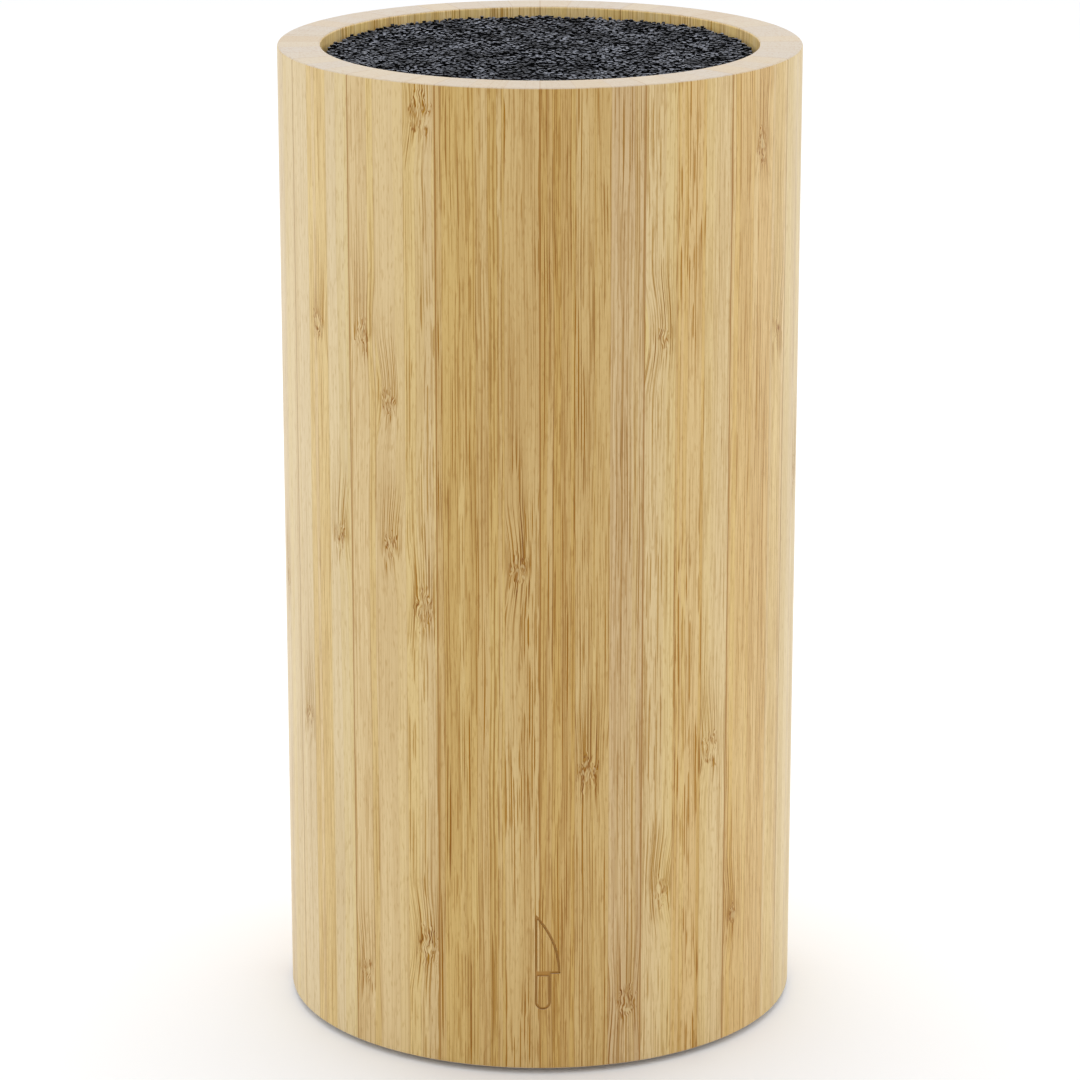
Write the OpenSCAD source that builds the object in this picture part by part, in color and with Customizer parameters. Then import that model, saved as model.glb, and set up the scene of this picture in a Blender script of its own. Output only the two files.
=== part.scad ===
// Round bamboo knife block with a lift-out insert of upright plastic rods.
// The origin is the centre of the footprint on the surface that the block
// stands on. +Z points up the block's axis, and the front faces -Y.

/* [Body] */
// Outer diameter of the turned bamboo cylinder
body_d = 110; // [100:1:125]
// Height of the whole block, feet included
block_h = 210; // [180:1:240]
// Wall thickness of the cylinder
wall_t = 9; // [8:0.5:12]
// Number of bamboo staves glued side by side into the cylinder
stave_count = 16; // [12:1:20]
// Rounding of the edges of the top and bottom rims
edge_r = 0.5; // [0.3:0.1:2]

/* [Base] */
// Thickness of the bamboo base disc
base_t = 8; // [6:0.5:12]
// How far the rebate that holds the base disc is cut into the wall
rebate_w = 4; // [3:0.5:5]
// Gap for glue round the base disc
glue_gap = 0.15; // [0.1:0.05:0.3]

/* [Feet] */
// Number of rubber feet
foot_count = 4; // [3:1:6]
// Diameter of a foot
foot_d = 12; // [8:1:16]
// How far a foot stands out below the base disc
foot_proud = 1.2; // [1:0.1:3]
// How deep a foot is let into the base disc
foot_seat = 1; // [0.5:0.1:2]
// Radius of the circle that the feet are spaced round
foot_circle_r = 38; // [25:1:38]

/* [Insert] */
// Gap all round between the insert and the bore of the cylinder
insert_gap = 1; // [0.8:0.1:1.5]
// Height of the cup that holds the lower ends of the rods
cup_h = 60; // [30:5:100]
// Wall thickness of the cup
cup_wall = 1.6; // [1.2:0.1:2.5]
// Floor thickness of the cup
cup_floor = 2; // [1.5:0.1:4]
// Thickness of the plate that the rods' lower ends are fused into
root_t = 4; // [2:0.5:8]
// How far below the top rim the rods end
tip_drop = 2; // [1:0.5:10]
// How far the rods lean out above the cup
rod_splay = 1.6; // [0.5:0.1:1.6]

/* [Engraved mark] */
// Length of the engraved blade outline
blade_l = 12.5; // [10:0.5:16]
// Width of the engraved blade outline at its heel
blade_w = 4.8; // [3:0.1:6]
// Length of the engraved handle outline
handle_l = 7.5; // [5:0.5:10]
// Width of the engraved handle outline
handle_w = 2.8; // [2.4:0.1:4]
// Width of the engraved line
line_w = 0.55; // [0.4:0.05:1]
// Depth of the engraved line
line_depth = 0.45; // [0.2:0.05:1]
// Height of the middle of the mark above the bottom of the bamboo
mark_up = 24; // [20:1:60]
// How far the blade's spine lies to the left of the front seam
spine_x = 0.8; // [0.6:0.1:2]

/* [Hidden] */
$fn = 180;
body_r = body_d / 2;
bore_r = body_r - wall_t;
body_bottom = foot_proud;
body_h = block_h - body_bottom;
stave_angle = 360 / stave_count;
front = -90;

rebate_r = bore_r + rebate_w;
base_top = body_bottom + base_t;
foot_r = foot_d / 2;
foot_edge = 0.4;
foot_seat_gap = 0.2;
foot_turn = 45;

cup_r = bore_r - insert_gap;
cup_bore_r = cup_r - cup_wall;
cup_top = base_top + cup_h;
root_gap = 0.1;
root_top = base_top + cup_floor + root_t;
rod_gap = 0.2;
rod_foot_r = cup_bore_r - rod_gap;
tips_z = block_h - tip_drop;
splay_l = 90;

half_line = line_w / 2;
mark_h = blade_l + handle_l + line_w;
mark_z = body_bottom + mark_up - mark_h / 2 + handle_l + line_w;
belly_r = (blade_l * blade_l + blade_w * blade_w) / (2 * blade_w);

function numbered(stem, i) = str(stem, i < 10 ? "0" : "", i);
STAVES = [for (i = [1 : stave_count]) numbered("stave_", i)];
FEET = [for (i = [1 : foot_count]) str("foot_", i)];

// The sliver outside a quarter circle, taken off a corner to round it.
// It lies in the quadrant that the signs of dir name.
module corner_sliver(r, dir) {
    scale([dir[0], dir[1]])
        difference() {
            square(r + 1);
            circle(r);
        }
}

// Half section of the cylinder's wall: X is the radius, Y is the height.
module wall_section() {
    difference() {
        translate([bore_r, body_bottom])
            square([wall_t, body_h]);
        translate([bore_r - 1, body_bottom - 1])
            square([rebate_w + 1, base_t + 1]);
        translate([body_r - edge_r, block_h - edge_r])
            corner_sliver(edge_r, [1, 1]);
        translate([bore_r + edge_r, block_h - edge_r])
            corner_sliver(edge_r, [-1, 1]);
        translate([body_r - edge_r, body_bottom + edge_r])
            corner_sliver(edge_r, [1, -1]);
    }
}

// Outline of the blade, grown by g: a straight spine on the left, a round
// belly on the right, and the heel at Y = 0.
module blade_outline(g) {
    intersection() {
        translate([blade_w - belly_r, 0])
            circle(belly_r + g);
        translate([-g, -g])
            square([blade_w + 2 * g, blade_l + 2 * g]);
    }
}

// Outline of the handle, grown by g: a bar with a round end below the blade.
module handle_outline(g) {
    r = handle_w / 2;
    translate([r, r - handle_l - line_w])
        circle(r + g);
    translate([-g, r - handle_l - line_w])
        square([handle_w + 2 * g, handle_l - r + g]);
}

// The engraved line, as a tool path through the front of the cylinder.
module mark_cutter() {
    intersection() {
        translate([-spine_x, 0, mark_z])
            rotate([90, 0, 0])
                linear_extrude(body_r + 2)
                    difference() {
                        union() {
                            blade_outline(half_line);
                            handle_outline(half_line);
                        }
                        blade_outline(-half_line);
                        handle_outline(-half_line);
                    }
        difference() {
            cylinder(r = body_r + 1, h = block_h);
            translate([0, 0, -1])
                cylinder(r = body_r - line_depth, h = block_h + 2);
        }
    }
}

// One stave of the ring. Stave 1 starts at the front seam, and the numbers
// run to the right. The mark crosses the seam between the last and the first.
module stave(i) {
    color("burlywood")
        difference() {
            rotate([0, 0, front + (i - 1) * stave_angle])
                rotate_extrude(angle = stave_angle)
                    wall_section();
            if (i == 1 || i == stave_count)
                mark_cutter();
        }
}

module at_foot(i) {
    rotate([0, 0, front + foot_turn + (i - 1) * 360 / foot_count])
        translate([foot_circle_r, 0, 0])
            children();
}

// The disc glued into the rebate, with a round seat for each foot.
module base_disc() {
    color("tan")
        difference() {
            translate([0, 0, body_bottom])
                cylinder(r = rebate_r - glue_gap, h = base_t);
            for (i = [1 : foot_count])
                at_foot(i)
                    cylinder(r = foot_r + foot_seat_gap, h = body_bottom + foot_seat);
        }
}

module foot(i) {
    color("dimgray")
        at_foot(i)
            rotate_extrude()
                difference() {
                    square([foot_r, foot_proud + foot_seat]);
                    translate([foot_r - foot_edge, foot_edge])
                        corner_sliver(foot_edge, [1, -1]);
                }
}

// The open cup at the bottom of the insert, with a rounded lip.
module insert_cup() {
    lip_r = cup_wall / 2;
    color("#222222")
        rotate_extrude() {
            translate([0, base_top])
                square([cup_r, cup_floor]);
            translate([cup_bore_r, base_top])
                square([cup_wall, cup_h - lip_r]);
            translate([cup_bore_r + lip_r, cup_top - lip_r])
                circle(lip_r);
        }
}

// The plate that the rods' lower ends are melted into.
module rod_root_plate() {
    color("#1a1a1a")
        translate([0, 0, base_top + cup_floor])
            cylinder(r = cup_bore_r - root_gap, h = root_t);
}

// The space filled by the upright rods, which spread a little above the cup.
module rod_bundle() {
    rod_top_r = rod_foot_r + rod_splay;
    color("#2b2b2e")
        rotate_extrude()
            polygon([
                [0, root_top],
                [rod_foot_r, root_top],
                [rod_foot_r, cup_top],
                [rod_top_r, cup_top + splay_l],
                [rod_top_r, tips_z],
                [0, tips_z]
            ]);
}

for (i = [1 : stave_count])
    stave(i);
base_disc();
for (i = [1 : foot_count])
    foot(i);
insert_cup();
rod_root_plate();
rod_bundle();
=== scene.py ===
import math
import random

import bpy
import numpy as np
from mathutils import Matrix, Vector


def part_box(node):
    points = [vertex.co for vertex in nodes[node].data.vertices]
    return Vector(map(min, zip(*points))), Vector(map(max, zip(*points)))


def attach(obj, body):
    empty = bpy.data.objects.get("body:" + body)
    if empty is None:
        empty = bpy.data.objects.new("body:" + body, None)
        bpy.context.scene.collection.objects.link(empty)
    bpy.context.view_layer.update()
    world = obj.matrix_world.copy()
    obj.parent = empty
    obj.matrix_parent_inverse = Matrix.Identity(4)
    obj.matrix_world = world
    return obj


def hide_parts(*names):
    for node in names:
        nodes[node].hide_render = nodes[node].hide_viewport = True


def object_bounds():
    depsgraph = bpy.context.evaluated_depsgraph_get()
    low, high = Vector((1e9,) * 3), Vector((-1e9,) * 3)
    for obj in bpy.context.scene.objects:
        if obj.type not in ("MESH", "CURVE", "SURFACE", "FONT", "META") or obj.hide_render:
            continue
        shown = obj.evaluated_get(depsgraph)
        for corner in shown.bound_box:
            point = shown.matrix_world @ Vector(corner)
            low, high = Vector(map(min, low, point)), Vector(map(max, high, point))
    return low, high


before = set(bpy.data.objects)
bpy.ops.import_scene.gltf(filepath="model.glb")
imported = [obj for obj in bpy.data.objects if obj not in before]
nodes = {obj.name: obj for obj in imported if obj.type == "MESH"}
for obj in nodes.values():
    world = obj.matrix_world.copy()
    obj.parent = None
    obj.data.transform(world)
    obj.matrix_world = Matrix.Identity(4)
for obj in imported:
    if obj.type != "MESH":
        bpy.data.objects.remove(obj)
cad_lo, cad_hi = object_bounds()

MM = 0.001

# Sizes, all read from the frame, in metres.
TOP = cad_hi.z
BODY_R = cad_hi.x
BUNDLE_LO, BUNDLE_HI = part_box("rod_bundle")
BUNDLE_R = BUNDLE_HI.x
ROOT_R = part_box("rod_root_plate")[1].x
STAVES = sorted(name for name in nodes if name.startswith("stave_"))
FEET = sorted(name for name in nodes if name.startswith("foot_"))

# The ring of staves. Angles are in degrees round from the front, positive to the right.
STAVE_ANGLE = 360 / len(STAVES)
STRIPS = 3
STRIP_ANGLE = STAVE_ANGLE / STRIPS

# Materials work in millimetres.
BODY_R_MM = BODY_R / MM
MM_PER_DEGREE = math.radians(1) * BODY_R_MM
STRIP_MM = math.radians(STRIP_ANGLE) * BODY_R_MM


# ---------------------------------------------------------------- node helpers

def rgb(code):
    """A hex colour as the linear RGBA that Blender's shaders take."""
    channels = [int(code[i:i + 2], 16) / 255 for i in (0, 2, 4)]
    linear = [c / 12.92 if c <= 0.04045 else ((c + 0.055) / 1.055) ** 2.4 for c in channels]
    return (*linear, 1.0)


class Shader:
    """One material's node tree, built with short calls that return sockets."""

    def __init__(self, name, roughness=0.5, specular=0.5):
        self.material = bpy.data.materials.new(name)
        self.material.use_nodes = True
        self.tree = self.material.node_tree
        self.principled = self.tree.nodes["Principled BSDF"]
        self.set("Roughness", roughness)
        self.set("Specular IOR Level", specular)

    def set(self, socket, value):
        """Gives one of the Principled shader's sockets a number, a colour or a link."""
        self.feed(self.principled.inputs[socket], value)

    def feed(self, socket, value):
        if isinstance(value, bpy.types.NodeSocket):
            self.tree.links.new(value, socket)
        else:
            socket.default_value = value

    def node(self, kind, **settings):
        made = self.tree.nodes.new(kind)
        for key, value in settings.items():
            setattr(made, key, value)
        return made

    def math(self, operation, *values, clamp=False):
        made = self.node("ShaderNodeMath", operation=operation, use_clamp=clamp)
        for socket, value in zip(made.inputs, values):
            self.feed(socket, value)
        return made.outputs[0]

    def add(self, a, b):
        return self.math("ADD", a, b)

    def subtract(self, a, b):
        return self.math("SUBTRACT", a, b)

    def times(self, *values):
        result = values[0]
        for value in values[1:]:
            result = self.math("MULTIPLY", result, value)
        return result

    def most(self, a, b):
        return self.math("MAXIMUM", a, b)

    def ramp(self, value, low, high, to_low=0.0, to_high=1.0):
        """Eases from to_low to to_high as value goes from low to high, and clamps outside."""
        made = self.node("ShaderNodeMapRange", interpolation_type="SMOOTHSTEP")
        for socket, number in zip(made.inputs, (value, low, high, to_low, to_high)):
            self.feed(socket, number)
        return made.outputs[0]

    def vector(self, x, y, z):
        made = self.node("ShaderNodeCombineXYZ")
        for socket, value in zip(made.inputs, (x, y, z)):
            self.feed(socket, value)
        return made.outputs[0]

    def coordinates(self):
        """The place in the frame as x, y and z sockets in millimetres. A piece's own coordinates
        are the frame's, and move with its body."""
        made = self.node("ShaderNodeSeparateXYZ")
        self.feed(made.inputs[0], self.node("ShaderNodeTexCoord").outputs["Object"])
        return [self.times(socket, 1 / MM) for socket in made.outputs]

    def up(self):
        """The Z part of the surface normal."""
        made = self.node("ShaderNodeSeparateXYZ")
        self.feed(made.inputs[0], self.node("ShaderNodeTexCoord").outputs["Normal"])
        return made.outputs[2]

    def noise(self, vector, scale=1.0, detail=2.0, roughness=0.5):
        made = self.node("ShaderNodeTexNoise", noise_dimensions="3D")
        self.feed(made.inputs["Vector"], vector)
        self.feed(made.inputs["Scale"], scale)
        self.feed(made.inputs["Detail"], detail)
        self.feed(made.inputs["Roughness"], roughness)
        return made.outputs[0]

    def chance(self, value):
        """A random number from 0 to 1 for each value."""
        made = self.node("ShaderNodeTexWhiteNoise", noise_dimensions="1D")
        self.feed(made.inputs["W"], value)
        return made.outputs["Value"]

    def mix(self, factor, a, b):
        """From colour a to colour b, as far as factor says."""
        made = self.node("ShaderNodeMix", data_type="RGBA")
        sockets = [s for s in made.inputs if s.type == "RGBA"]
        self.feed(made.inputs[0], factor)
        self.feed(sockets[0], a)
        self.feed(sockets[1], b)
        return next(s for s in made.outputs if s.type == "RGBA")

    def tint(self, factor, colour, by):
        """Multiplies the colour by another, as far as factor says."""
        result = self.mix(factor, colour, by)
        result.node.blend_type = "MULTIPLY"
        return result

    def bump(self, height, distance, strength=1.0):
        """Raises the surface by height, which is 0 to 1, times distance in metres."""
        made = self.node("ShaderNodeBump")
        self.feed(made.inputs["Strength"], strength)
        self.feed(made.inputs["Distance"], distance)
        self.feed(made.inputs["Height"], height)
        self.set("Normal", made.outputs[0])


def dress(name, material):
    """Gives a CAD node its material."""
    for slot in nodes[name].material_slots:
        slot.material = material


# ---------------------------------------------------------------- bamboo

# A fibre's colour multiplies the colour that it lies on.
PALE = rgb("dec794")
FIBRE = (0.54, 0.34, 0.0, 1.0)
DARK_FIBRE = (0.54, 0.30, 0.0, 1.0)
KNUCKLE_CREAM = rgb("e2cc98")
GLUE = rgb("98661e")
END_GRAIN = rgb("ccc1b3")
END_FIBRE = rgb("b99a78")
# Painted light: the bore's colour is brighter and more golden than its wood, standing in for
# light that doesn't reach it.
PAINTED_BORE_LIGHT = rgb("ffe2a4")
GOLDEN_BAND = (1.0, 0.985, 0.84, 1.0)
BURNT = rgb("b4853c")

# Nearer to the outside than this, in millimetres, the wood is the block's outside, and the rest
# is its bore.
OUTSIDE_MM = 4.0
# In millimetres: the heights between which the engraved mark lies, the depth from which its
# line is burnt, and the depth at which it's burnt most.
MARK_LOW, MARK_HIGH = 8.0, 45.0
BURN_FROM, BURN_FULL = 0.08, 0.25
# How deep the open grain is, in metres.
GRAIN_DEPTH = 0.000012
# How much stronger the fibres are in the bore.
BORE_FIBRES = 0.2

# The kinds of fibre: the width of its columns, how long its lines are, how much of its noise
# doesn't show, and half a line's thickness. All but the third are in millimetres.
PINS = (0.52, 34.0, 0.46, 0.125)
CORDS = (1.45, 28.0, 0.50, 0.18)
LONG_FLECKS = (0.50, 15.0, 0.46, 0.135)
SHORT_FLECKS = (0.70, 8.5, 0.48, 0.15)
HAIRS = (0.43, 16.0, 0.40, 0.12)
KNOT_LINES = (0.65, 26.0, 0.26, 0.16)
KNOT_DASHES = (0.70, 6.0, 0.40, 0.20)

# A strip has a tone and a figure. TONES is its colour between its fibres, and CONTRAST how much
# they stand out in that tone. The figure depends on how the strip was cut from the cane: LINES
# is how strong its long fine lines are, and FLECKS its short dashes.
TONES = {
    "pale": rgb("d9c499"),
    "light": rgb("dac190"),
    "beige": rgb("d0b487"),
    "gold": rgb("d7b87f"),
    "tan": rgb("cfb075"),
    "deep": rgb("caa86a"),
}
CONTRAST = {"pale": 0.60, "light": 0.65, "beige": 0.85, "gold": 0.80, "tan": 1.0, "deep": 1.0}
LINES = {"plain": 0.35, "lined": 1.0, "flecked": 0.50}
FLECKS = {"plain": 0.30, "lined": 0.60, "flecked": 1.2}

# The strips of each stave from left to right as seen from outside, and its
# knuckles: the strip that each is on, and its height in millimetres.
FRONT_STAVES = {
    13: ("pale plain, pale lined, pale plain", [(1, 96)]),
    14: ("pale plain, light lined, pale plain", [(1, 157), (2, 113), (0, 70)]),
    15: ("light lined, light plain, light flecked",
         [(0, 157), (1, 144), (1, 113), (2, 101), (2, 204), (2, 27), (0, 18)]),
    16: ("tan lined, tan lined, tan flecked", [(2, 111)]),
    1: ("deep lined, tan lined, beige lined", [(1, 67), (2, 15)]),
    2: ("light flecked, gold flecked, light lined", [(0, 158), (0, 39), (2, 68)]),
    3: ("gold lined, gold lined, light lined", [(1, 194), (2, 154), (0, 29)]),
    4: ("pale plain, pale lined, pale plain", [(1, 120)]),
}


# The staves round the back are made up: how often each tone comes, how often a strip has a
# knuckle, and the heights between which it lies.
TONE_WEIGHTS = [3, 4, 2, 3, 2, 1]
KNUCKLE_ODDS = 0.75
KNUCKLE_HEIGHTS = (20, 195)


def other_stave(rng):
    """A made-up stave for the side that the front view doesn't reach."""
    tones = rng.choices(list(TONES), TONE_WEIGHTS, k=STRIPS)
    strips = ", ".join(f"{tone} {rng.choice(list(LINES))}" for tone in tones)
    knuckles = [(strip, rng.uniform(*KNUCKLE_HEIGHTS))
                for strip in range(STRIPS) if rng.random() < KNUCKLE_ODDS]
    return strips, knuckles


# Half of a middling knot across and along the grain, in millimetres, and how ragged its edge is.
KNOT_ACROSS, KNOT_UP = 2.4, 4.4
KNOT_RAGGED = 2.2


def knuckle_masks(s, across, z, strip, ragged, knuckles):
    """Where the stave's knuckles are: heart is the pale middle of a knot, near is the knot,
    gather is how far its fibres are drawn together, tail is the darker run of fibres above it,
    and skirt is the short dashes below it. A knuckle's height also varies its place on the
    strip, its size and the way that its fibres lean."""
    heart, near, gather, tail, skirt = 0.0, 0.0, 0.0, 0.0, 0.0
    for number, height in knuckles:
        on_strip = s.math("COMPARE", strip, float(number), 0.25)
        t = s.subtract(z, height)
        side = s.times(s.subtract(across, 0.5 + 0.14 * math.sin(height)), STRIP_MM)
        size = 0.75 + 0.25 * math.sin(1.7 * height)
        far_across = s.times(side, 1 / (KNOT_ACROSS * size))
        far_up = s.times(t, 1 / (KNOT_UP * size))
        far = s.math("SQRT", s.add(s.times(far_across, far_across), s.times(far_up, far_up)))
        far = s.add(far, s.times(s.subtract(ragged, 0.5), KNOT_RAGGED))
        heart = s.most(heart, s.times(s.ramp(far, 0.50, 0.25), on_strip))
        near = s.most(near, s.times(s.ramp(far, 1.15, 0.60), on_strip))
        pull = s.times(s.ramp(s.math("ABSOLUTE", s.subtract(t, 1.0)), 14.0, 1.0), on_strip)
        lean = 1.2 * math.sin(2.3 * height)
        gather = s.add(gather, s.times(pull, s.add(s.times(side, 0.22), lean)))
        beside = s.times(s.ramp(s.math("ABSOLUTE", side), 3.3, 2.0), on_strip)
        tail = s.most(tail, s.times(s.ramp(t, 24.0, 2.0), s.ramp(t, -2.0, 0.5), beside))
        skirt = s.most(skirt, s.times(s.ramp(t, -9.0, -3.0), s.ramp(t, 4.0, 0.0), beside))
    return heart, near, gather, tail, skirt


def bamboo_stave(number, strips, knuckles):
    """One stave's bamboo: its strips side by side, with the grain up the stave."""
    s = Shader(f"bamboo_stave_{number:02d}", specular=0.26)
    x, y, z = s.coordinates()
    radius = s.math("SQRT", s.add(s.times(x, x), s.times(y, y)))
    turn = s.times(s.math("ARCTAN2", x, s.times(y, -1.0)), 180 / math.pi)

    # Where the point lies on the stave: the strip's number, and 0 to 1 across it.
    first = (number - 1) * STAVE_ANGLE
    if first >= 180:
        first -= 360
    place = s.times(s.subtract(turn, first), 1 / STRIP_ANGLE)
    place = s.math("MINIMUM", s.most(place, 0.001), STRIPS - 0.001)
    strip = s.math("FLOOR", place)
    across = s.subtract(place, strip)

    words = [strip_words.split() for strip_words in strips.split(",")]
    beyond = [s.math("GREATER_THAN", strip, index - 0.5) for index in range(1, STRIPS)]
    lines = [CONTRAST[tone] * LINES[figure] for tone, figure in words]
    dashes = [CONTRAST[tone] * FLECKS[figure] for tone, figure in words]
    ground, lined, flecked = TONES[words[0][0]], lines[0], dashes[0]
    for index, step in enumerate(beyond, start=1):
        ground = s.mix(step, ground, TONES[words[index][0]])
        lined = s.add(lined, s.times(step, lines[index] - lines[index - 1]))
        flecked = s.add(flecked, s.times(step, dashes[index] - dashes[index - 1]))

    # The bore is painted brighter and more golden than the outside. This is painted light where
    # its wall is in shade. Its fibres also stand out more.
    inside = s.math("LESS_THAN", radius, BODY_R_MM - OUTSIDE_MM)
    ground_with_painted_bore_light = s.mix(inside, ground, PAINTED_BORE_LIGHT)
    lined = s.add(lined, s.times(inside, BORE_FIBRES))
    flecked = s.add(flecked, s.times(inside, BORE_FIBRES))

    # The grain runs in millimetres round the ring, with a new start in each strip.
    # It sways a little on its way up, and curls at a knot.
    start = s.add(s.times(strip, 37.3), number * 11.7)
    round_mm = s.times(turn, MM_PER_DEGREE)
    sway = s.noise(s.vector(s.times(round_mm, 0.15), start, s.times(z, 0.02)), 1.0, 1.0)
    curl = s.noise(s.vector(s.times(round_mm, 0.40), start, s.times(z, 0.33)), 1.0, 1.0)
    ragged = s.noise(s.vector(s.times(round_mm, 1.1), start, s.times(z, 0.55)), 1.0, 1.0)
    heart, near, gather, tail, skirt = knuckle_masks(s, across, z, strip, ragged, knuckles)
    u = s.add(s.add(round_mm, start), gather)
    u = s.add(u, s.times(s.subtract(sway, 0.5), 1.1))
    u = s.add(u, s.times(near, s.subtract(curl, 0.5), 2.6))

    # The fibres aren't evenly spaced.
    spacing = s.noise(s.vector(s.times(u, 0.7), start, 0.0), 1.0, 0.0)
    spaced = s.add(u, s.times(spacing, 1.1))

    def fibres(width, length, least, thickness):
        """Lines along the grain that swell and taper, at most one in each column. A line shows
        where its own noise is above least."""
        column_place = s.times(spaced, 1 / width)
        column = s.math("FLOOR", column_place)
        chance = s.chance(s.add(column, start))
        off = s.subtract(s.subtract(column_place, column), s.ramp(chance, 0.0, 1.0, 0.3, 0.7))
        swell = s.noise(s.vector(s.times(column, 7.31), s.times(z, 1 / length), start), 1.0, 0.0)
        half = s.times(s.ramp(swell, least, least + 0.16), thickness, 1 / width)
        shape = s.math("DIVIDE", s.math("ABSOLUTE", off), s.most(half, 0.0001))
        return s.times(s.ramp(shape, 1.2, 0.6), s.ramp(chance, 0.0, 1.0, 1.0, 0.5))

    # Bands a millimetre or three wide, each of a slightly different tone.
    warp = s.noise(s.vector(s.times(u, 0.35), start, 0.0), 1.0, 1.0)
    band_place = s.times(s.add(u, s.times(warp, 9.0)), 1 / 2.0)
    band = s.math("FLOOR", band_place)
    band_tone = s.noise(s.vector(s.times(band, 5.3), s.times(z, 0.009), start), 1.0, 1.0)
    band_edge = s.ramp(s.subtract(band_place, band), 0.10, 0.03)
    band_edge = s.times(band_edge, s.ramp(band_tone, 0.46, 0.54))

    # Long lines are strong where drift is, and short dashes where rest is.
    zone = s.noise(s.vector(s.times(u, 0.28), s.times(z, 0.022), start), 1.0, 1.0)
    drift = s.ramp(zone, 0.40, 0.56, 0.12, 1.0)
    rest = s.ramp(zone, 0.62, 0.48, 0.15, 1.0)

    # Fine and coarse long lines, short dashes, faint hairs, and the lines round a knot.
    pins = s.times(fibres(*PINS), lined, drift)
    cords = s.times(fibres(*CORDS), lined, drift)
    flecks = s.most(fibres(*LONG_FLECKS), fibres(*SHORT_FLECKS))
    flecks = s.times(flecks, flecked, rest)
    hairs = fibres(*HAIRS)
    grit = s.noise(s.vector(s.times(u, 2.6), start, s.times(z, 0.45)), 1.0, 1.0)
    knot_lines = fibres(*KNOT_LINES)
    knot_dashes = fibres(*KNOT_DASHES)
    arcs = s.noise(s.vector(s.times(u, 1.8), start, s.times(z, 0.20)), 1.0, 0.0)
    arcs = s.ramp(s.math("ABSOLUTE", s.subtract(arcs, 0.5)), 0.075, 0.025)

    # Colour: the strip's own tone, its bands, then the fibres on top.
    colour = s.mix(s.ramp(band_tone, 0.47, 0.34, 0.0, 0.28), ground_with_painted_bore_light, PALE)
    colour = s.tint(s.ramp(band_tone, 0.50, 0.68, 0.0, 0.15), colour, FIBRE)
    colour = s.tint(s.ramp(s.chance(s.add(band, start)), 0.3, 0.9), colour, GOLDEN_BAND)
    colour = s.tint(s.times(band_edge, lined, 0.75), colour, FIBRE)
    colour = s.tint(s.times(hairs, s.add(s.times(lined, 0.16), 0.07)), colour, FIBRE)
    colour = s.tint(s.ramp(grit, 0.52, 0.78, 0.0, 0.30), colour, FIBRE)
    colour = s.tint(s.most(pins, cords), colour, FIBRE)
    colour = s.tint(flecks, colour, FIBRE)

    # Knuckles: fibres that draw together from above, a pale knot with a few small
    # dark arcs, and short dashes below.
    knot_fibres = s.most(s.times(knot_lines, tail), s.times(knot_dashes, skirt))
    colour = s.tint(s.times(near, 0.06), colour, FIBRE)
    colour = s.tint(knot_fibres, colour, FIBRE)
    colour = s.mix(s.times(heart, 0.45), colour, KNUCKLE_CREAM)
    knot_arcs = s.times(arcs, near)
    colour = s.tint(s.times(knot_arcs, 0.72), colour, DARK_FIBRE)

    # Glue lines: faint between strips, a little stronger between staves.
    edge = s.math("MINIMUM", across, s.subtract(1.0, across))
    line = s.ramp(edge, 0.030, 0.006)
    stave_edge = s.math("MINIMUM", place, s.subtract(float(STRIPS), place))
    strong = s.ramp(stave_edge, 0.040, 0.012)
    colour = s.mix(s.add(s.times(line, 0.15), s.times(strong, 0.60)), colour, GLUE)

    # End grain on the rims: paler, with the ends of the fibres as fine specks, and each
    # strip a little nearer or further from its own tone.
    end = s.ramp(s.math("ABSOLUTE", s.up()), 0.35, 0.85)
    specks = s.noise(s.vector(s.times(round_mm, 2.2), s.times(radius, 2.2), start), 1.0, 2.0)
    rings = s.noise(s.vector(s.times(round_mm, 0.5), s.times(radius, 2.6), start), 1.0, 2.0)
    grain_end = s.mix(s.ramp(specks, 0.52, 0.72, 0.0, 0.45), END_GRAIN, END_FIBRE)
    grain_end = s.mix(s.ramp(rings, 0.50, 0.75, 0.0, 0.45), grain_end, END_FIBRE)
    grain_end = s.mix(s.times(s.add(line, strong), 0.16), grain_end, GLUE)
    own_tone = s.chance(s.add(strip, number * 5.0))
    grain_end = s.mix(s.ramp(own_tone, 0.0, 1.0, 0.0, 0.30), grain_end, ground)
    grain_end = s.tint(s.times(band_edge, 0.25), grain_end, FIBRE)
    colour = s.mix(end, colour, grain_end)

    # The engraved line is scorched: at its heights nothing else is cut into the outside.
    depth = s.subtract(BODY_R_MM, radius)
    outside = s.math("GREATER_THAN", radius, BODY_R_MM - OUTSIDE_MM)
    mark_height = s.times(s.ramp(z, MARK_LOW, MARK_LOW + 1), s.ramp(z, MARK_HIGH, MARK_HIGH - 1))
    burn = s.times(s.ramp(depth, BURN_FROM, BURN_FULL), outside, mark_height)
    colour = s.mix(s.times(burn, 0.9), colour, BURNT)

    s.set("Base Color", colour)
    open_grain = s.most(s.most(pins, cords), s.most(flecks, knot_fibres))
    relief = s.most(open_grain, s.most(knot_arcs, s.times(line, 0.6)))
    s.bump(s.subtract(1.0, relief), GRAIN_DEPTH, 0.6)
    s.set("Roughness", s.add(0.36, s.times(s.most(open_grain, end), 0.14)))
    return s.material


# The base disc's strips, in millimetres: their width, and how far from the middle a strip's
# band of knuckles may lie.
BOARD_STRIP = 19.0
BOARD_KNUCKLES = 40.0


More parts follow.
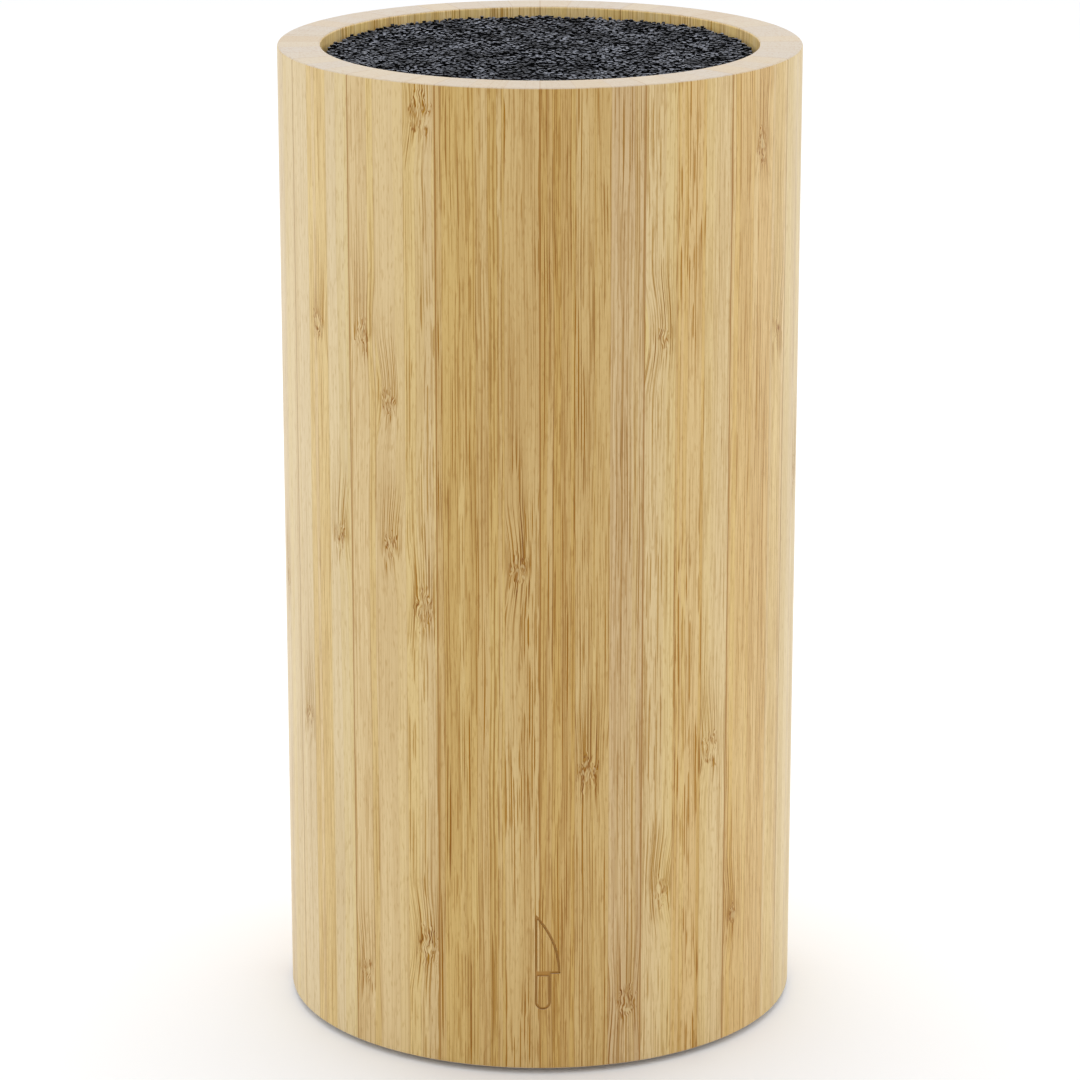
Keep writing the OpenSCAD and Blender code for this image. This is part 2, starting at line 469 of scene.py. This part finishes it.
def bamboo_board():
    """The base disc: flat-grained bamboo strips side by side, with the grain along X."""
    s = Shader("bamboo_board", roughness=0.58, specular=0.35)
    x, y, z = s.coordinates()
    place = s.add(s.times(y, 1 / BOARD_STRIP), 3.37)
    strip = s.math("FLOOR", place)
    across = s.subtract(place, strip)
    start = s.times(strip, 23.9)
    sway = s.noise(s.vector(s.times(x, 0.03), s.times(y, 0.2), start), 1.0, 1.0)
    v = s.add(s.add(y, start), s.times(s.subtract(sway, 0.5), 1.4))
    streaks = s.noise(s.vector(s.times(x, 0.035), s.times(v, 1.2), z), 1.0, 3.0, 0.6)
    threads = s.noise(s.vector(s.times(x, 0.02), s.times(v, 4.0), z), 1.0, 3.0, 0.6)
    tone = s.chance(start)
    colour = s.mix(s.ramp(tone, 0.0, 1.0, 0.15, 0.8), PALE, TONES["tan"])
    colour = s.tint(s.ramp(streaks, 0.52, 0.72, 0.0, 0.6), colour, FIBRE)
    colour = s.tint(s.ramp(threads, 0.48, 0.72, 0.0, 0.4), colour, FIBRE)

    # One band of knuckles crosses each strip at a place of its own.
    knuckle_x = s.ramp(tone, 0.0, 1.0, -BOARD_KNUCKLES, BOARD_KNUCKLES)
    wave = s.noise(s.vector(s.times(x, 0.2), s.times(v, 0.5), start), 1.0, 2.0)
    off = s.math("ABSOLUTE", s.add(s.subtract(x, knuckle_x), s.times(s.subtract(wave, 0.5), 6.0)))
    band = s.ramp(off, 1.8, 0.3)
    colour = s.tint(s.times(band, 0.6), colour, DARK_FIBRE)

    edge = s.math("MINIMUM", across, s.subtract(1.0, across))
    line = s.ramp(edge, 0.012, 0.003)
    colour = s.mix(s.times(line, 0.6), colour, GLUE)
    s.set("Base Color", colour)
    s.bump(s.subtract(1.0, s.add(s.ramp(threads, 0.48, 0.7, 0.0, 0.5), line)), 0.00005, 0.5)
    return s.material


def dress_body():
    rng = random.Random(41)
    for number, name in enumerate(STAVES, start=1):
        strips, knuckles = FRONT_STAVES.get(number) or other_stave(rng)
        dress(name, bamboo_stave(number, strips, knuckles))
    dress("base_disc", bamboo_board())


# ---------------------------------------------------------------- plastic and rubber

def moulded_plastic():
    """Black moulded plastic, matt and a little clouded, with faint upright scuffs."""
    s = Shader("moulded_plastic", roughness=0.42, specular=0.5)
    x, y, z = s.coordinates()
    where = s.vector(x, y, z)
    cloud = s.noise(where, 0.08, 3.0)
    pits = s.noise(where, 2.6, 2.0, 0.6)
    scuffs = s.noise(s.vector(s.times(x, 0.5), s.times(y, 0.5), s.times(z, 0.03)), 1.0, 3.0, 0.7)
    colour = s.mix(cloud, rgb("161617"), rgb("222224"))
    colour = s.mix(s.ramp(scuffs, 0.60, 0.80, 0.0, 0.5), colour, rgb("3a3a3c"))
    s.set("Base Color", colour)
    s.set("Roughness", s.ramp(scuffs, 0.40, 0.75, 0.36, 0.55))
    s.bump(pits, 0.00003, 0.4)
    return s.material


def foot_rubber():
    """Matt black rubber with a little dust on it."""
    s = Shader("foot_rubber", roughness=0.75, specular=0.3)
    x, y, z = s.coordinates()
    where = s.vector(x, y, z)
    grain = s.noise(where, 5.0, 2.0, 0.6)
    dust = s.noise(where, 0.6, 3.0)
    s.set("Base Color", s.mix(s.ramp(dust, 0.45, 0.75), rgb("1c1c1d"), rgb("38373a")))
    s.set("Roughness", s.ramp(dust, 0.40, 0.70, 0.68, 0.85))
    s.bump(grain, 0.00004, 0.5)
    return s.material


def rod_plastic():
    """Black rods with near-black sides, each a tone of its own. The cut ends are lit grey as
    painted glints, with grey scuffs on them, and painted light and shade lie over the bundle in
    brighter and darker patches."""
    s = Shader("rod_plastic", specular=0.10)
    x, y, z = s.coordinates()
    tone_and_glint = s.node("ShaderNodeAttribute", attribute_name="rod_tone_and_glint").outputs["Fac"]
    length = s.noise(s.vector(s.times(x, 1.5), s.times(y, 1.5), s.times(z, 0.05)), 1.0, 2.0)
    grit = s.noise(s.vector(x, y, z), 6.0, 2.0, 0.7)
    # Painted light and shade: broad brighter and darker patches over the bundle.
    painted_light_patch = s.noise(s.vector(s.times(x, 0.10), s.times(y, 0.08), 0.0), 1.0, 3.0, 0.6)
    side = s.mix(s.add(s.times(tone_and_glint, 0.6), s.times(length, 0.4)), rgb("020203"), rgb("0c0d10"))
    # Painted glints: the cut ends, the faces that look up, turn grey as far as each rod's number
    # and the patches say. The grit adds real grey scuffs.
    painted_glint = s.times(s.add(s.times(tone_and_glint, 0.60), 0.40), s.ramp(painted_light_patch, 0.38, 0.60, 0.26, 1.0))
    cut = s.mix(painted_glint, rgb("050506"), rgb("868a96"))
    cut = s.mix(s.ramp(grit, 0.55, 0.78, 0.0, 0.3), cut, rgb("5c606c"))
    colour = s.mix(s.ramp(s.up(), 0.55, 0.90), side, cut)
    s.set("Base Color", colour)
    s.set("Roughness", s.ramp(painted_glint, 0.0, 1.0, 0.60, 0.35))
    s.bump(grit, 0.00003, 0.5)
    return s.material


# ---------------------------------------------------------------- rods

ROD_R = 0.39 * MM
ROD_PITCH = 0.86 * MM
ROD_SIDES = 6
ROW_PITCH = ROD_PITCH * math.sqrt(3) / 2

# In millimetres: how far the outermost feet stay inside the root plate's edge, how far a foot
# may be off its place, and the spread of the tips sideways and in height.
FOOT_MARGIN = 0.6
FOOT_JITTER = 0.03
TIP_SPREAD = 0.16
HEIGHT_SPREAD = 0.20
# The spread of the slope of a cut end.
CUT_SLOPE = 0.10
# In millimetres: how high the slow and the quick waves over the bundle's top are, how far a tip
# may lie below the top of its CAD solid, and how far below the rim it stays.
WAVE_HEIGHT = 0.25
RIPPLE_HEIGHT = 0.10
DEEPEST_TIP = 1.6
RIM_MARGIN = 0.9


def rod_places(rng):
    """Feet of the rods on a loose triangular grid inside the cup, far enough in that the
    rods still clear its lip where they lean out."""
    reach = ROOT_R - ROD_R - FOOT_MARGIN * MM
    rows = int(reach / ROW_PITCH) + 1
    places = []
    for row in range(-rows, rows + 1):
        for column in range(-rows - 2, rows + 3):
            x = (column + 0.5 * (row % 2)) * ROD_PITCH
            y = row * ROW_PITCH
            if math.hypot(x, y) <= reach:
                places.append((x, y))
    places = np.array(places)
    return places + rng.uniform(-FOOT_JITTER, FOOT_JITTER, places.shape) * MM


def ring(centres, heights, turn):
    """One ring of vertices for each rod: shape (rods, ROD_SIDES, 3)."""
    angles = turn[:, None] + np.arange(ROD_SIDES)[None, :] * 2 * math.pi / ROD_SIDES
    x = centres[:, :1] + ROD_R * np.cos(angles)
    y = centres[:, 1:] + ROD_R * np.sin(angles)
    z = np.broadcast_to(heights[:, None], x.shape)
    return np.stack([x, y, z], axis=2)


def build_rods():
    """The bundle as separate closed rods that lean out a little from the root plate up."""
    rng = np.random.default_rng(7)
    feet = rod_places(rng)
    count = len(feet)
    limit = BUNDLE_R - ROD_R
    spread = limit / np.hypot(*feet.T).max()
    tips = feet * spread + rng.normal(0, TIP_SPREAD, feet.shape) * MM
    far = np.hypot(*tips.T)
    tips *= np.minimum(1.0, limit / np.maximum(far, 1e-9))[:, None]

    # Tip heights: slow and quick waves over the bundle, in radians per metre, and each rod's
    # own cut.
    x, y = tips.T
    wave = np.sin(x * 95 + 1.3) * np.cos(y * 120 - 0.4)
    ripple = np.sin(x * 410 + y * 260) * np.cos(y * 530 - 0.9)
    own = rng.normal(0, HEIGHT_SPREAD, count)
    top = BUNDLE_HI.z + (WAVE_HEIGHT * wave + RIPPLE_HEIGHT * ripple + own) * MM
    top = np.clip(top, BUNDLE_HI.z - DEEPEST_TIP * MM, TOP - RIM_MARGIN * MM)
    turn = rng.uniform(0, math.pi, count)

    foot_ring = ring(feet, np.full(count, BUNDLE_LO.z), turn)
    tip_ring = ring(tips, top, turn)
    # Each end is cut a little out of square.
    slope = rng.normal(0, CUT_SLOPE, (count, 2))
    off = tip_ring[:, :, :2] - tips[:, None, :]
    tip_ring[:, :, 2] += (off * slope[:, None, :]).sum(axis=2)

    points = np.concatenate([foot_ring, tip_ring], axis=1).reshape(-1, 3)
    per_rod = 2 * ROD_SIDES
    faces = []
    for foot in range(0, count * per_rod, per_rod):
        tip = foot + ROD_SIDES
        for side in range(ROD_SIDES):
            after = (side + 1) % ROD_SIDES
            faces.append((foot + side, foot + after, tip + after, tip + side))
        faces.append(tuple(foot + ROD_SIDES - 1 - side for side in range(ROD_SIDES)))
        faces.append(tuple(tip + side for side in range(ROD_SIDES)))

    mesh = bpy.data.meshes.new("rods")
    mesh.from_pydata(points.tolist(), [], faces)
    # Each rod gets one number. It sets the tone of its sides and the strength of the painted
    # glint on its cut end.
    tone_and_glint = mesh.attributes.new("rod_tone_and_glint", "FLOAT", "POINT")
    tone_and_glint.data.foreach_set("value", np.repeat(rng.random(count), per_rod).astype(np.float32))
    mesh.shade_smooth()
    mesh.set_sharp_from_angle(angle=math.radians(50))
    rods = bpy.data.objects.new("rods", mesh)
    bpy.context.scene.collection.objects.link(rods)
    mesh.materials.append(rod_plastic())
    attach(rods, "insert")
    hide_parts("rod_bundle")


# ---------------------------------------------------------------- stage

FLOOR_HALF = 6.0
WORLD_STRENGTH = 0.88

# The camera's place, in radii of the block: in front of its axis, and above its rim. Then how
# far it looks down, in degrees, and its lens and sensor in millimetres.
CAMERA_BACK = 16.27
CAMERA_UP = 2.75
CAMERA_DOWN = 16.2
CAMERA_LENS = 143.5
CAMERA_SENSOR = 36.0


def build_floor():
    """A pale floor, faintly mottled."""
    s = Shader("floor", roughness=0.85, specular=0.2)
    x, y, z = s.coordinates()
    mottle = s.noise(s.vector(x, y, z), 0.004, 3.0)
    s.set("Base Color", s.mix(mottle, rgb("f8f9fc"), rgb("fcfdff")))
    mesh = bpy.data.meshes.new("floor")
    half = FLOOR_HALF
    corners = [(-half, -half, 0), (half, -half, 0), (half, half, 0), (-half, half, 0)]
    mesh.from_pydata(corners, [], [(0, 1, 2, 3)])
    mesh.materials.append(s.material)
    floor = bpy.data.objects.new("floor", mesh)
    bpy.context.scene.collection.objects.link(floor)


def softbox(name, azimuth, elevation, distance, width, height, watts):
    """An area light that looks at the middle of the block. Azimuth 0 is the front and 90 the
    right."""
    light = bpy.data.lights.new(name, "AREA")
    light.shape = "RECTANGLE"
    light.size, light.size_y = width, height
    light.energy = watts
    lamp = bpy.data.objects.new(name, light)
    a, e = math.radians(azimuth), math.radians(elevation)
    middle = (cad_lo + cad_hi) / 2
    away = type(middle)((math.sin(a) * math.cos(e), -math.cos(a) * math.cos(e), math.sin(e)))
    lamp.location = middle + away * distance
    lamp.rotation_euler = away.to_track_quat("Z", "Y").to_euler()
    bpy.context.scene.collection.objects.link(lamp)


def build_light():
    """A white world, which gives most of the light, a softbox at each side and one above."""
    world = bpy.data.worlds.new("studio")
    world.use_nodes = True
    background = world.node_tree.nodes["Background"]
    background.inputs["Color"].default_value = (1.0, 1.0, 1.0, 1.0)
    background.inputs["Strength"].default_value = WORLD_STRENGTH
    bpy.context.scene.world = world
    for name, azimuth in (("left_softbox", -100), ("right_softbox", 100)):
        softbox(name, azimuth, elevation=10, distance=0.9, width=0.5, height=0.8, watts=1.2)
    softbox("top_softbox", 180, elevation=70, distance=1.6, width=1.6, height=1.2, watts=9)


def build_camera():
    """In front of the block and a little above it, looking down, as far off as the picture's
    perspective needs."""
    camera = bpy.data.cameras.new("camera")
    camera.sensor_width = CAMERA_SENSOR
    camera.lens = CAMERA_LENS
    eye = bpy.data.objects.new("camera", camera)
    eye.location = (0.0, -CAMERA_BACK * BODY_R, TOP + CAMERA_UP * BODY_R)
    eye.rotation_euler = (math.radians(90 - CAMERA_DOWN), 0.0, 0.0)
    bpy.context.scene.collection.objects.link(eye)
    bpy.context.scene.camera = eye


# ---------------------------------------------------------------- build

bpy.context.scene.view_settings.view_transform = "Standard"
build_camera()
build_light()
build_floor()
dress_body()
for foot in FEET:
    dress(foot, foot_rubber())
dress("insert_cup", moulded_plastic())
dress("rod_root_plate", moulded_plastic())
build_rods()
